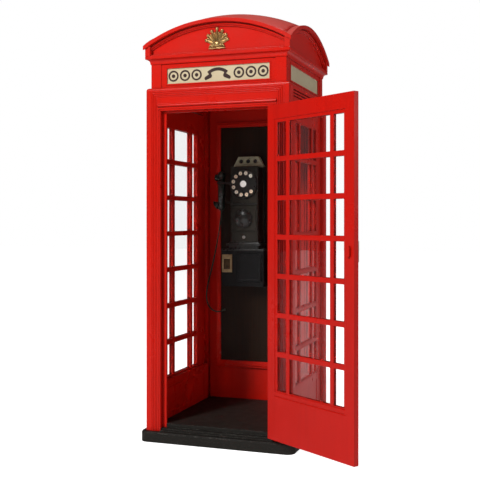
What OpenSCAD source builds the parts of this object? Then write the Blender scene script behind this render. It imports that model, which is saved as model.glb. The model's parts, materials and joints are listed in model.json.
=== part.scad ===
// Street telephone kiosk with arched roof, glazed sides, an outward-opening
// glazed door and a wall payphone. Millimetres, +Z up, front faces -Y.
// Origin: centre of the plinth's underside. The door is drawn standing open.

/* [Overall] */
// how far the black plinth stands out beyond the body
plinth_out = 31; // [6:1:70]
// height of the plinth
plinth_h = 60; // [40:1:100]
// radius of the plinth's corners in plan
plinth_r = 46; // [20:1:80]
// width across the body, each way
body_w = 852; // [820:2:900]
// height of the body's shoulder above the ground
body_top = 2023; // [1980:1:2200]
// level of the inside floor
floor_z = 100; // [90:1:130]

/* [Roof] */
// how far the frieze is set back behind the body
frieze_in = 21; // [16:1:26]
// height of the frieze
frieze_h = 137; // [125:1:220]
// how far the cornice stands out beyond the frieze
cornice_out = 27; // [25:1:40]
// height of the cornice
cornice_h = 47; // [44:1:70]
// how far the arched rims stand out beyond the cornice
rim_out = 10; // [4:1:16]
// height of the arches' tips above the cornice
tip_h = 57; // [50:1:70]
// height of the arches' crowns above the cornice
arch_h = 186; // [150:1:230]
// length of the lit signs
sign_l = 620; // [500:5:680]
// height of the lit signs
sign_h = 94; // [60:1:110]
// height of the signs' lower edge above the body's shoulder
sign_rise = 19; // [12:1:25]

/* [Body] */
// face width of the surround beside each opening
jamb_w = 88; // [80:1:110]
// thickness of the surround plates
plate_t = 16; // [12:1:20]
// size of the corner posts
post_w = 50; // [40:1:60]
// thickness of the window castings
window_t = 30; // [24:1:40]
// underside of the front head
head_z = 1890; // [1850:1:1980]
// number of reeds round each opening
reeds = 4; // [2:1:5]
// distance between reeds
reed_pitch = 10; // [8:0.5:12]

/* [Glazing] */
// rows of panes
rows = 7; // [5:1:9]
// width of the glazing bars
bar_w = 27; // [20:1:34]
// width of the narrow side panes
narrow_w = 82; // [60:1:100]
// width of the wide side panes
wide_w = 249; // [200:1:300]
// lowest edge of the side glazing
glaze_lo = 336; // [300:1:400]
// highest edge of the side glazing
glaze_hi = 1818; // [1700:1:1850]
// thickness of the glass
glass_t = 4; // [3:0.5:6]

/* [Door] */
// gap round the door
door_gap = 3; // [2.5:0.5:5]
// thickness of the door
door_t = 30; // [26:1:36]
// level of the door's lower edge
door_lo = 84; // [80:1:120]
// level of the door's upper edge
door_hi = 1886; // [1700:1:1960]
// width of the door's narrow panes
door_narrow = 74; // [50:1:90]
// width of the door's stiles
stile_w = 76; // [60:1:100]
// lowest edge of the door glazing
door_glaze_lo = 353; // [300:1:420]
// highest edge of the door glazing
door_glaze_hi = 1789; // [1600:1:1830]
// level of the door's handles
pull_z = 1113; // [900:1:1300]
// angle the door stands open
door_open = 145.7; // [90:0.1:165]

/* [Payphone] */
// sideways position of the payphone
phone_x = -72; // [-90:1:60]
// width of the upper housing
phone_w = 184; // [160:2:200]
// depth of the upper housing from the board
phone_d = 118; // [90:1:130]
// level of the upper housing's top
phone_top = 1613; // [1550:1:1650]
// level of the upper housing's underside
phone_lo = 1128; // [1100:1:1140]
// radius of the ring of finger holes
dial_hole_r = 70; // [60:1:72]
// level of the dial's centre
dial_z = 1496; // [1480:1:1510]
// width of the coin box
vault_w = 278; // [240:2:300]
// depth of the coin box from the board
vault_d = 143; // [120:1:160]
// level of the coin box's underside
vault_lo = 845; // [820:1:900]
// level of the coin box's top
vault_hi = 1070; // [1050:1:1076]
// distance from the housing's side to the middle of the handset
handset_out = 76; // [72:1:90]

/* [Hidden] */
$fn = 48;
e = 1;
anchor = 600;
anchor_r = 8;
cable_x = 270;
cable_y = 320;
cable_r = 25;
half = body_w / 2;
plinth_w = body_w + 2 * plinth_out;
frieze_w = body_w - 2 * frieze_in;
frieze_t = 30;
frieze_top = body_top + frieze_h;
cornice_w = frieze_w + 2 * cornice_out;
cornice_top = frieze_top + cornice_h;
roof_w = cornice_w + 2 * rim_out;
arch_sag = arch_h - tip_h;
arch_r = (roof_w * roof_w / 4 + arch_sag * arch_sag) / (2 * arch_sag);
arch_z = cornice_top + arch_h - arch_r;
sign_z = body_top + sign_rise;
in_face = half - plate_t;
post_in = in_face - post_w;
win_in = in_face - window_t;
line_in = post_in - 3;
open_half = half - jamb_w;
shoulder = 16;
plate_top = body_top - shoulder;
back_in = in_face - 12;
door_w = 2 * (open_half - door_gap);
door_in = -half + door_t;
stop_y = door_in + 2;
stop_in = open_half - 24;
stop_t = 16;
reed_r = 4.4;
head_reed = plate_top - 7 - (reeds - 1) * reed_pitch;
vent_lo = plate_top - 57;
vent_pitch = 17;
vent_h = 7;
vent_levels = [for (k = [0:2]) vent_lo + vent_pitch * k];
side_head = head_z + 15;
knuckle_r = 7;
knuckle_h = 18;
pin_r = 3;
hinge_x = door_w / 2 + 1.5;
hinge_y = -half - 8;
hinge_levels = [260, 985, 1710];
door_wide = door_w - 2 * stile_w - 2 * door_narrow - 2 * bar_w;
bead = 5;
tymp_y = cornice_w / 2 - 30;
dome_r = sqrt(arch_r * arch_r + tymp_y * tymp_y);
dome_t = 20;
rim_w = 20;
board_lo = 350;
board_hi = head_z - 18;
board_half = post_in - 88;
board_y = back_in - 18;
phone_y = board_y - phone_d;
vault_y = board_y - vault_d;
wheel_r = 86;
panel_lo = 1194;
panel_hi = 1357;
boss_z = 1277;
lock_z = 1158;
foot_z = 1104;
return_l = phone_x - vault_w / 2 + 13;
return_r = return_l + 42;
return_hi = vault_hi - 52;
return_lo = return_hi - 63;
return_pin_z = return_hi - 6;
vault_door_l = return_r + 48;
vault_door_r = phone_x + vault_w / 2 - 10;
vault_door_lo = vault_lo + 33;
vault_door_hi = vault_hi - 18;
handset_x = phone_x - phone_w / 2 - handset_out;
handset_y = board_y - 80;
handset_r = 22;
fork_y = handset_r + 4;
handset_lo = 1326;
hook_z = 1504;
hook_r = 4;
gland = [-248, 678];
// the route that the cord's centre follows, from the handset round to the board
cord_r = 4.5;
cord_pts = [[-240, 300, 1326], [-240, 300, 1306], [-247, 300, 1250], [-262, 300, 1160], [-284, 300, 1050],
    [-310, 300, 940], [-334, 301, 850], [-344, 303, 780], [-338, 307, 725], [-318, 315, 690],
    [-292, 327, 672], [-268, 342, 670], [-252, 356, 675], [-248, 365, 678], [-248, 372, 678]];
cord_n = 8;
door_paint = [0.74, 0.05, 0.03];
red = [0.78, 0.06, 0.04];
black = [0.1, 0.1, 0.1];
brass = [0.72, 0.58, 0.35];

// ---- shared shapes ----

// box from corner a to corner b
module block(a, b) {
    translate(a) cube([b[0] - a[0], b[1] - a[1], b[2] - a[2]]);
}

// box centred in x and y
module slab(w, d, z0, z1) {
    block([-w / 2, -d / 2, z0], [w / 2, d / 2, z1]);
}

// points of a rounded rectangle, n steps to each corner
function rounded(w, d, r, n) = [for (q = [0:3]) for (i = [0:n])
    let (a = 90 * q + 90 * i / n)
    let (sx = (q == 0 || q == 3) ? 1 : -1)
    let (sy = q < 2 ? 1 : -1)
    [sx * (w / 2 - r) + r * cos(a), sy * (d / 2 - r) + r * sin(a)]];

// slab ring whose four outer sides follow one profile, points [half width, height]
function both_sides(p) = concat(p, [for (i = [len(p) - 1:-1:0]) [-p[i][0], p[i][1]]]);
module moulded_slab(p, reach) {
    intersection() {
        translate([0, reach, 0]) rotate([90, 0, 0]) linear_extrude(2 * reach) polygon(both_sides(p));
        rotate([0, 0, 90]) translate([0, reach, 0]) rotate([90, 0, 0])
            linear_extrude(2 * reach) polygon(both_sides(p));
    }
}

// rod standing at x, from z0 to z1, top cut to a mitre that slopes away from the opening
module standing_reed(x, y, r, z0, z1) {
    s = sign(x);
    intersection() {
        translate([x, y, z0]) cylinder(h = z1 - z0 + 2 * r, r = r, $fn = 20);
        translate([0, y + 2 * r, 0]) rotate([90, 0, 0]) linear_extrude(4 * r)
            polygon([[x - s * 2 * r, z0], [x + s * 2 * r, z0],
                [x + s * 2 * r, z1 + 2 * r], [x - s * 2 * r, z1 - 2 * r]]);
    }
}

// rod lying across from -x to x at height z, both ends cut to the matching mitre
module lying_reed(x, y, r, z) {
    intersection() {
        translate([-x - 2 * r, y, z]) rotate([0, 90, 0]) cylinder(h = 2 * x + 4 * r, r = r, $fn = 20);
        translate([0, y + 2 * r, 0]) rotate([90, 0, 0]) linear_extrude(4 * r)
            polygon([[-x + 2 * r, z - 2 * r], [x - 2 * r, z - 2 * r],
                [x + 2 * r, z + 2 * r], [-x - 2 * r, z + 2 * r]]);
    }
}

// rounded mould over the opening, ends cut square
module drip_mould(z) {
    w = open_half + 17;
    translate([-w, 0, 0]) rotate([90, 0, 90]) linear_extrude(2 * w)
        polygon([[-half, z], [-half - 9, z + 2], [-half - 11, z + 6], [-half - 10, z + 10],
            [-half - 6, z + 14], [-half, z + 18]]);
}

// surround plate on the front, with its reeds; side plates are the same piece turned
module surround(w, opening_top, reeded_head) {
    first = open_half + 26;
    difference() {
        block([-w / 2, -half, plinth_h], [w / 2, -in_face, plate_top]);
        block([-open_half, -half - e, plinth_h - e], [open_half, -in_face + e, opening_top]);
        if (!reeded_head) for (z = vent_levels)
            block([-open_half, -half - e, z], [open_half, -in_face + e, z + vent_h]);
    }
    for (k = [0:reeds - 1]) {
        for (s = [-1, 1])
            if (reeded_head)
                standing_reed(s * (first + k * reed_pitch), -half + 1, reed_r, plinth_h,
                    head_reed + k * reed_pitch);
            else
                translate([s * (first + k * reed_pitch), -half + 1, plinth_h])
                    cylinder(h = plate_top - plinth_h, r = reed_r, $fn = 20);
        if (reeded_head) lying_reed(first + k * reed_pitch, -half + 1, reed_r, head_reed + k * reed_pitch);
    }
    // bead beside the opening, and the drip mould over it
    for (s = [-1, 1])
        block([s * (open_half + 13) - 4, -half - 4, plinth_h],
            [s * (open_half + 13) + 4, -half, opening_top + 17]);
    block([-open_half - 17, -half - 4, opening_top + 9], [open_half + 17, -half, opening_top + 17]);
    if (reeded_head) drip_mould(opening_top + 22);
}

// pane positions: column centres and widths across, row centres up
function columns(wide, narrow) = [[-(wide + narrow) / 2 - bar_w, narrow], [0, wide],
    [(wide + narrow) / 2 + bar_w, narrow]];
// panes through a casting lying between y0 and y1, rebated from y0 for glass and bead
module pane_cuts(wide, narrow, low, high, y0, y1, rebate) {
    tall = (high - low - (rows - 1) * bar_w) / rows;
    for (c = columns(wide, narrow))
        for (k = [0:rows - 1]) {
            zc = low + tall / 2 + k * (tall + bar_w);
            block([c[0] - c[1] / 2, y0 - e, zc - tall / 2], [c[0] + c[1] / 2, y1 + e, zc + tall / 2]);
            block([c[0] - c[1] / 2 - bead, y0 - e, zc - tall / 2 - bead],
                [c[0] + c[1] / 2 + bead, y0 + rebate, zc + tall / 2 + bead]);
        }
}

// the glass sheets that stand in the rebates
module panes(wide, narrow, low, high, y_glass) {
    tall = (high - low - (rows - 1) * bar_w) / rows;
    fit = bead - 0.5;
    for (c = columns(wide, narrow))
        for (k = [0:rows - 1]) {
            zc = low + tall / 2 + k * (tall + bar_w);
            block([c[0] - c[1] / 2 - fit, y_glass - glass_t, zc - tall / 2 - fit],
                [c[0] + c[1] / 2 + fit, y_glass, zc + tall / 2 + fit]);
        }
}

// glazing beads in front of the glass
module pane_beads(wide, narrow, low, high, y0, y1) {
    tall = (high - low - (rows - 1) * bar_w) / rows;
    fit = bead - 0.5;
    for (c = columns(wide, narrow))
        for (k = [0:rows - 1]) {
            zc = low + tall / 2 + k * (tall + bar_w);
            difference() {
                block([c[0] - c[1] / 2 - fit, y0, zc - tall / 2 - fit],
                    [c[0] + c[1] / 2 + fit, y1, zc + tall / 2 + fit]);
                block([c[0] - c[1] / 2 + 1, y0 - e, zc - tall / 2 + 1],
                    [c[0] + c[1] / 2 - 1, y1 + e, zc + tall / 2 - 1]);
            }
        }
}

// turns a front-facing piece to the left (-X) or right (+X) side, or the back
module to_left() { rotate([0, 0, -90]) children(); }
module to_right() { rotate([0, 0, 90]) children(); }

// swings a piece drawn on the shut door to where the door stands
module on_door() {
    translate([hinge_x, hinge_y, 0]) rotate([0, 0, door_open]) translate([-hinge_x, -hinge_y, 0]) children();
}

// ---- base ----

module plinth() {
    color(black) difference() {
        union() {
            linear_extrude(plinth_h - 6) polygon(rounded(plinth_w, plinth_w, plinth_r, 8));
            translate([0, 0, plinth_h - 6]) linear_extrude(6)
                polygon(rounded(plinth_w - 8, plinth_w - 8, plinth_r - 4, 8));
        }
        for (sx = [-1, 1])
            for (sy = [-1, 1])
                translate([sx * anchor / 2, sy * anchor / 2, -e]) cylinder(h = 45 + e, r = anchor_r);
        translate([cable_x, cable_y, -e]) cylinder(h = plinth_h + 2 * e, r = cable_r);
    }
}

module floor_plate() {
    color(black) difference() {
        block([-line_in, stop_y + stop_t, plinth_h], [line_in, back_in, floor_z]);
        translate([cable_x, cable_y, plinth_h - e]) cylinder(h = floor_z - plinth_h + 2 * e, r = cable_r);
    }
}

module threshold() {
    color(black) {
        block([-stop_in + 0.5, stop_y - 0.5, plinth_h], [stop_in - 0.5, stop_y + stop_t, floor_z]);
        block([-open_half + 2, -half + 6, plinth_h], [open_half - 2, stop_y - 0.5, plinth_h + 18]);
        block([-open_half + 2, -half - 12, plinth_h], [open_half - 2, -half + 6, plinth_h + 9]);
    }
}

// ---- frame of the body ----

module corner_posts() {
    color(red) for (sx = [-1, 1])
        for (sy = [-1, 1])
            translate([sx * (in_face - post_w / 2), sy * (in_face - post_w / 2), plinth_h])
                linear_extrude(plate_top - plinth_h) polygon(rounded(post_w, post_w, 3, 3));
}

module front_surround() {
    color(red) {
        surround(body_w, head_z, true);
        for (s = [-1, 1])
            block([s * (open_half + post_in) / 2 - (post_in - open_half) / 2, -in_face, plinth_h],
                [s * (open_half + post_in) / 2 + (post_in - open_half) / 2, stop_y + stop_t, plate_top]);
        block([-open_half, -in_face, head_z], [open_half, stop_y + stop_t, plate_top]);
    }
}

module left_surround() {
    color(red) to_left() surround(2 * in_face, side_head, false);
}

module right_surround() {
    color(red) to_right() surround(2 * in_face, side_head, false);
}

module back_surround() {
    color(red) rotate([0, 0, 180]) surround(body_w, head_z, true);
}

module door_stops() {
    color(red) {
        for (s = [-1, 1])
            block([s * (open_half + stop_in) / 2 - 12, stop_y, plinth_h],
                [s * (open_half + stop_in) / 2 + 12, stop_y + stop_t, head_z]);
        block([-stop_in, stop_y, head_z - 10], [stop_in, stop_y + stop_t, head_z]);
    }
}

module window_casting() {
    color(red) difference() {
        block([-post_in, -in_face, plinth_h], [post_in, -win_in, plate_top]);
        pane_cuts(wide_w, narrow_w, glaze_lo, glaze_hi, -in_face, -win_in, 12);
        // sunk field under the glass, outside
        block([-250, -in_face - e, 130], [250, -in_face + 4, glaze_lo - 46]);
        // vent slots behind the louvres of the surround
        for (z = vent_levels)
            block([-open_half, -in_face - e, z], [open_half, -win_in + e, z + vent_h]);
    }
}

module left_window() { to_left() window_casting(); }
module right_window() { to_right() window_casting(); }

module side_panes() {
    color([0.8, 0.88, 0.86, 0.35]) panes(wide_w, narrow_w, glaze_lo, glaze_hi, -in_face + 12);
}
module left_glass() { to_left() side_panes(); }
module right_glass() { to_right() side_panes(); }

module side_beads() {
    color(red) pane_beads(wide_w, narrow_w, glaze_lo, glaze_hi, -in_face + 1, -in_face + 12 - glass_t);
}
module left_beads() { to_left() side_beads(); }
module right_beads() { to_right() side_beads(); }

// thick inner lining under the windows, its top makes the ledge
module lower_lining() {
    color(red) difference() {
        block([-post_in, -win_in, plinth_h], [post_in, -line_in, glaze_lo - 10]);
        difference() {
            block([-290, -line_in - 3, floor_z + 30], [290, -line_in + e, glaze_lo - 50]);
            block([-282, -line_in - 4, floor_z + 38], [282, -line_in + 2 * e, glaze_lo - 58]);
        }
    }
}
module left_lower_panel() { to_left() lower_lining(); }
module right_lower_panel() { to_right() lower_lining(); }

module back_panel() {
    color(red) difference() {
        block([-post_in, back_in, plinth_h], [post_in, in_face, plate_top]);
        block([-290, in_face - 4, 130], [290, in_face + e, 290]);
    }
}

module board_frame() {
    color(red) difference() {
        block([-board_half - 34, back_in - 26, board_lo - 44], [board_half + 34, back_in, board_hi + 34]);
        block([-board_half, back_in - 26 - e, board_lo], [board_half, back_in + e, board_hi]);
        difference() {
            block([-board_half - 35, back_in - 27, board_lo - 45],
                [board_half + 35, back_in - 20, board_hi + 35]);
            block([-board_half - 22, back_in - 28, board_lo - 30],
                [board_half + 22, back_in - 19, board_hi + 22]);
        }
    }
}

module backboard() {
    color([0.16, 0.11, 0.09])
        block([-board_half + 0.5, board_y, board_lo + 0.5], [board_half - 0.5, back_in, board_hi - 0.5]);
}

// ---- frieze, cornice and roof ----

module shoulder_ring() {
    p = [for (i = [0:6]) [half - shoulder + shoulder * cos(15 * i), plate_top + shoulder * sin(15 * i)]];
    color(red) difference() {
        moulded_slab(p, half + 10);
        slab(frieze_w - 50, frieze_w - 50, plate_top - e, body_top + e);
    }
}

module frieze() {
    fw = frieze_w / 2;
    color(red) difference() {
        slab(frieze_w, frieze_w, body_top, frieze_top);
        slab(frieze_w - 2 * frieze_t, frieze_w - 2 * frieze_t, body_top - e, frieze_top + e);
        for (q = [0:3]) rotate([0, 0, 90 * q]) {
            block([-fw + 62, -fw - e, body_top - e], [fw - 62, -fw + 5, frieze_top + e]);
            block([-sign_l / 2, -fw - e, sign_z], [sign_l / 2, -fw + 40, sign_z + sign_h]);
        }
    }
}

module sign_panels() {
    fw = frieze_w / 2;
    color([0.87, 0.82, 0.66]) for (q = [0:3]) rotate([0, 0, 90 * q])
        block([-sign_l / 2 + 0.5, -fw + 9, sign_z + 0.5],
            [sign_l / 2 - 0.5, -fw + 14, sign_z + sign_h - 0.5]);
}

module sign_frames() {
    fw = frieze_w / 2;
    lip = 5;
    color(red) for (q = [0:3]) rotate([0, 0, 90 * q]) difference() {
        block([-sign_l / 2 - lip, -fw + 2, sign_z - lip], [sign_l / 2 + lip, -fw + 9, sign_z + sign_h + lip]);
        block([-sign_l / 2 + 3, -fw, sign_z + 3], [sign_l / 2 - 3, -fw + 10, sign_z + sign_h - 3]);
        difference() {
            block([-sign_l / 2 - lip - e, -fw + 5, sign_z - lip - e],
                [sign_l / 2 + lip + e, -fw + 10, sign_z + sign_h + lip + e]);
            block([-sign_l / 2 + 0.5, -fw + 4, sign_z + 0.5],
                [sign_l / 2 - 0.5, -fw + 11, sign_z + sign_h - 0.5]);
        }
    }
}

module cornice() {
    fw = frieze_w / 2;
    cw = cornice_w / 2;
    low = frieze_top;
    cove = 20;
    p = concat([[fw, low], [fw + 4, low], [fw + 4, low + 6]],
        [for (i = [0:6]) [cw - 2 - cove * cos(15 * i), low + 8 + cove * sin(15 * i)]],
        [[cw, low + 30], [cw, cornice_top - 2], [cw - 2, cornice_top]]);
    color(red) difference() {
        moulded_slab(p, cw + 10);
        slab(frieze_w - 2 * frieze_t, frieze_w - 2 * frieze_t, low - e, cornice_top + e);
    }
}

// upright disc standing forward of the arched field, on the arch's centre
module arch_disc(deep, r) {
    translate([0, -tymp_y, arch_z]) rotate([90, 0, 0]) cylinder(h = deep, r = r, $fn = 240);
}

// moulding that follows the arch
module arch_band(deep, r_out, r_in) {
    difference() {
        arch_disc(deep, r_out);
        translate([0, e, 0]) arch_disc(deep + 2 * e, r_in);
    }
}

// one arched head: rim, bead and sunk field, ends mitred to meet its neighbours
module arched_head() {
    rw = roof_w / 2;
    cw = cornice_w / 2;
    post = cw - tymp_y + 0.4;
    intersection() {
        union() {
            arch_band(rw - tymp_y, arch_r, arch_r - rim_w);
            translate([0, 20, 0]) arch_disc(20, arch_r - dome_t - 4);
            arch_band(18, arch_r - rim_w - 6, arch_r - rim_w - 15);
            arch_band(10, arch_r - rim_w + e, arch_r - rim_w - 22);
            block([-cw, -cw + 8, cornice_top], [cw, -tymp_y + e, cornice_top + 7]);
            // corner post that carries the rim's foot
            for (s = [-1, 1])
                block([s * (cw - post / 2) - post / 2, -cw, cornice_top],
                    [s * (cw - post / 2) + post / 2, -tymp_y + 0.4, cornice_top + arch_h / 2]);
        }
        // wedge that mitres the ends, kept above the cornice and under the rim
        translate([0, 0, cornice_top]) linear_extrude(400) polygon([[0, 0], [-rw, -rw], [rw, -rw]]);
        translate([0, tymp_y + e, 0]) arch_disc(rw + 2 * e, arch_r);
    }
}

module pediments() {
    color(red) for (q = [0:3]) rotate([0, 0, 90 * q]) arched_head();
}

module roof_dome() {
    w = 2 * tymp_y - 1;
    color(red) difference() {
        intersection() {
            translate([0, 0, arch_z]) sphere(r = dome_r, $fn = 240);
            slab(w, w, cornice_top + 20, cornice_top + 400);
        }
        translate([0, 0, arch_z]) sphere(r = dome_r - dome_t, $fn = 240);
    }
}

// gilt fan of leaves over a bar, fixed to the front field
module emblem() {
    color([0.8, 0.64, 0.34]) translate([0, -tymp_y, cornice_top + 19]) {
        block([-46, -9, 0], [46, 0, 10]);
        block([-38, -11, 10], [38, 0, 18]);
        for (i = [-3:3]) rotate([0, 20 * i, 0]) {
            reach = 108 - 12 * abs(i);
            block([-4, -8, 20], [4, 0, reach]);
            translate([0, 0, reach]) rotate([90, 0, 0]) cylinder(h = 11, r = 12, $fn = 24);
        }
        translate([0, 0, 24]) rotate([90, 0, 0]) cylinder(h = 14, r = 18, $fn = 32);
    }
}

module ceiling() {
    color([0.75, 0.72, 0.66]) difference() {
        slab(frieze_w - 2 * frieze_t, frieze_w - 2 * frieze_t, body_top + 8, body_top + 20);
        translate([0, 0, body_top]) cylinder(h = 30, r = 20);
    }
}

module lamp_base() {
    color([0.8, 0.8, 0.78]) {
        translate([0, 0, body_top - 6]) cylinder(h = 14, r = 70);
        translate([0, 0, body_top]) cylinder(h = 24, r = 18);
    }
}

module lamp_lens() {
    color([0.95, 0.93, 0.86]) translate([0, 0, body_top - 6]) difference() {
        sphere(r = 62);
        translate([0, 0, 0]) sphere(r = 58);
        translate([0, 0, 50]) cube([140, 140, 100], center = true);
    }
}

// ---- hinges and door ----

// knuckles stand on the shared axis; odd ones belong to the frame, even ones to the door
module knuckle(level, n) {
    gap = 0.3;
    translate([hinge_x, hinge_y, level + knuckle_h * n + gap])
        cylinder(h = knuckle_h - 2 * gap, r = knuckle_r);
}

module frame_hinges() {
    color(red) for (level = hinge_levels) {
        difference() {
            union() {
                for (n = [0, 2, 4]) {
                    knuckle(level, n);
                    block([hinge_x, hinge_y, level + knuckle_h * n + 0.3],
                        [hinge_x + 7, -half, level + knuckle_h * (n + 1) - 0.3]);
                }
            }
            translate([hinge_x, hinge_y, level - e]) cylinder(h = 5 * knuckle_h + 2 * e, r = pin_r + 0.05);
        }
    }
}

module door_leaf() {
    field = door_w / 2 - stile_w + 16;
    color(door_paint) on_door() difference() {
        block([-door_w / 2, -half, door_lo], [door_w / 2, door_in, door_hi]);
        pane_cuts(door_wide, door_narrow, door_glaze_lo, door_glaze_hi, -half + 5, door_in - 5, 10);
        for (y = [-half - e, door_in - 5])
            block([-field, y, door_glaze_lo - 6], [field, y + 5 + e, door_glaze_hi + 18]);
        // groove under the glazing, inside
        block([-field, door_in - 3, door_glaze_lo - 32], [field, door_in + e, door_glaze_lo - 27]);
    }
}

module door_glass() {
    color([0.8, 0.88, 0.86, 0.35]) on_door()
        panes(door_wide, door_narrow, door_glaze_lo, door_glaze_hi, -half + 15);
}

module door_beads() {
    color(door_paint) on_door()
        pane_beads(door_wide, door_narrow, door_glaze_lo, door_glaze_hi, -half + 6, -half + 15 - glass_t);
}

module door_hinges() {
    color(red) on_door() for (level = hinge_levels) {
        for (n = [1, 3]) {
            knuckle(level, n);
            block([hinge_x - 16, hinge_y + 4, level + knuckle_h * n + 0.3],
                [hinge_x, -half, level + knuckle_h * (n + 1) - 0.3]);
        }
        translate([hinge_x, hinge_y, level - 3]) cylinder(h = 5 * knuckle_h + 6, r = pin_r);
    }
}

// small oval pull on the lock stile, inside
module pull_inner() {
    color(door_paint) on_door() translate([-door_w / 2 + 32, door_in, pull_z]) {
        for (z = [-18, 18]) translate([0, 0, z]) rotate([-90, 0, 0]) cylinder(h = 12, r = 9, $fn = 32);
        block([-9, 0, -18], [9, 12, 18]);
    }
}

// cup handle outside
module pull_outer() {
    color([0.75, 0.75, 0.75]) on_door() translate([-door_w / 2 + 38, -half, pull_z]) difference() {
        union() {
            block([-20, -4, -70], [20, 0, 70]);
            block([-12, -30, -52], [12, -4, 52]);
        }
        block([-13, -22, -38], [13, -4, 38]);
    }
}

// ---- payphone ----

module phone_backplate() {
    color(black) block([phone_x - phone_w / 2 - 8, board_y - 8, vault_lo + 20],
        [phone_x + phone_w / 2 + 8, board_y, phone_top - 6]);
}

module phone_housing() {
    color(black) difference() {
        translate([phone_x, 0, 0]) linear_extrude(phone_top - 4) polygon([
            [-phone_w / 2, board_y - 8], [-phone_w / 2, phone_y + 6], [-phone_w / 2 + 6, phone_y],
            [phone_w / 2 - 6, phone_y], [phone_w / 2, phone_y + 6], [phone_w / 2, board_y - 8]]);
        block([phone_x - 200, phone_y - 50, -e], [phone_x + 200, board_y, phone_lo]);
        translate([phone_x, phone_y + 4, dial_z]) rotate([90, 0, 0]) cylinder(h = 20, r = 8.05);
    }
}

// sloping plate at the top with three coin rings
module coin_gauge() {
    z0 = phone_top - 4;
    depth = 42;
    wide = phone_w / 2 + 10;
    color([0.55, 0.54, 0.45]) translate([phone_x + 6, board_y - 8, 0]) {
        difference() {
            rotate([90, 0, 0]) linear_extrude(depth)
                polygon([[-wide, z0], [wide, z0], [wide - 34, z0 + 66], [-wide + 34, z0 + 66]]);
            for (k = [-1:1])
                translate([48 * k, -depth + 18, z0 + 36]) rotate([90, 0, 0]) cylinder(h = 40, r = 13);
        }
        for (k = [-1:1])
            translate([48 * k, -depth + 16, z0 + 36]) rotate([90, 0, 0]) difference() {
                cylinder(h = 21, r = 19);
                translate([0, 0, 2]) cylinder(h = 30, r = 14);
            }
    }
}

module dial_bezel() {
    color(black) translate([phone_x, phone_y, dial_z]) {
        rotate([90, 0, 0]) difference() {
            cylinder(h = 16, r = wheel_r + 5, $fn = 96);
            translate([0, 0, 5]) cylinder(h = 20, r = wheel_r + 1, $fn = 96);
            translate([0, 0, -e]) cylinder(h = 20, r = 8.05);
        }
        // finger stop
        rotate([0, 14, 0]) {
            block([dial_hole_r - 18, -21, -5], [wheel_r + 4, -16.5, 5]);
            block([wheel_r + 1.5, -18, -5], [wheel_r + 4, -14, 5]);
        }
    }
}

// ring with a disc behind each finger hole
module number_plate() {
    color([0.88, 0.8, 0.66]) translate([phone_x, phone_y - 5, dial_z]) rotate([90, 0, 0]) difference() {
        cylinder(h = 3, r = wheel_r, $fn = 96);
        translate([0, 0, -e]) cylinder(h = 6, r = dial_hole_r - 24, $fn = 64);
    }
}

module finger_wheel() {
    color([0.08, 0.08, 0.08]) translate([phone_x, phone_y - 9, dial_z]) rotate([90, 0, 0]) difference() {
        union() {
            cylinder(h = 4, r = wheel_r - 1, $fn = 96);
            cylinder(h = 6, r = 26, $fn = 64);
            translate([0, 0, -11]) cylinder(h = 12, r = 8);
        }
        for (k = [0:9]) rotate([0, 0, 47 + 30 * k]) translate([dial_hole_r, 0, -e])
            cylinder(h = 8, r = 12.5, $fn = 32);
    }
}

module dial_card() {
    color([0.9, 0.88, 0.82]) translate([phone_x, phone_y - 15, dial_z]) rotate([90, 0, 0])
        cylinder(h = 2, r = 21, $fn = 48);
}

// raised plate below the dial
module phone_panel() {
    color(black) {
        block([phone_x - phone_w / 2 + 5, phone_y - 7, panel_lo],
            [phone_x + phone_w / 2 - 5, phone_y, panel_hi]);
        block([phone_x - phone_w / 2 + 12, phone_y - 10, panel_lo + 8],
            [phone_x + phone_w / 2 - 12, phone_y - 7, panel_hi - 8]);
    }
}

module phone_boss() {
    color([0.06, 0.06, 0.06]) translate([phone_x, phone_y - 10, boss_z]) rotate([90, 0, 0]) {
        cylinder(h = 10, r = 59, $fn = 72);
        intersection() {
            translate([0, 0, -70]) sphere(r = 100, $fn = 96);
            translate([0, 0, 10]) cylinder(h = 40, r = 54, $fn = 72);
        }
    }
}

module phone_lock() {
    color([0.75, 0.75, 0.72]) translate([phone_x, phone_y, lock_z]) rotate([90, 0, 0]) difference() {
        cylinder(h = 6, r = 10);
        translate([-1, -5, 4]) cube([2, 10, 4]);
    }
}

module phone_ledges() {
    w = phone_w / 2;
    back = board_y - 8;
    color(black) {
        // bead under the dial
        block([phone_x - w + 2, phone_y - 9, panel_hi + 6], [phone_x + w - 2, phone_y, panel_hi + 17]);
        // moulding at the foot of the upper housing
        block([phone_x - w - 24, phone_y - 18, foot_z], [phone_x + w + 24, back, foot_z + 14]);
        block([phone_x - w - 8, phone_y - 6, foot_z + 14], [phone_x + w + 8, back, phone_lo]);
        // neck and cap of the coin box
        block([phone_x - w - 8, phone_y - 4, vault_hi + 12], [phone_x + w + 8, back, foot_z]);
        block([phone_x - vault_w / 2 - 5, vault_y - 8, vault_hi],
            [phone_x + vault_w / 2 + 5, back, vault_hi + 12]);
    }
}

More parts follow.
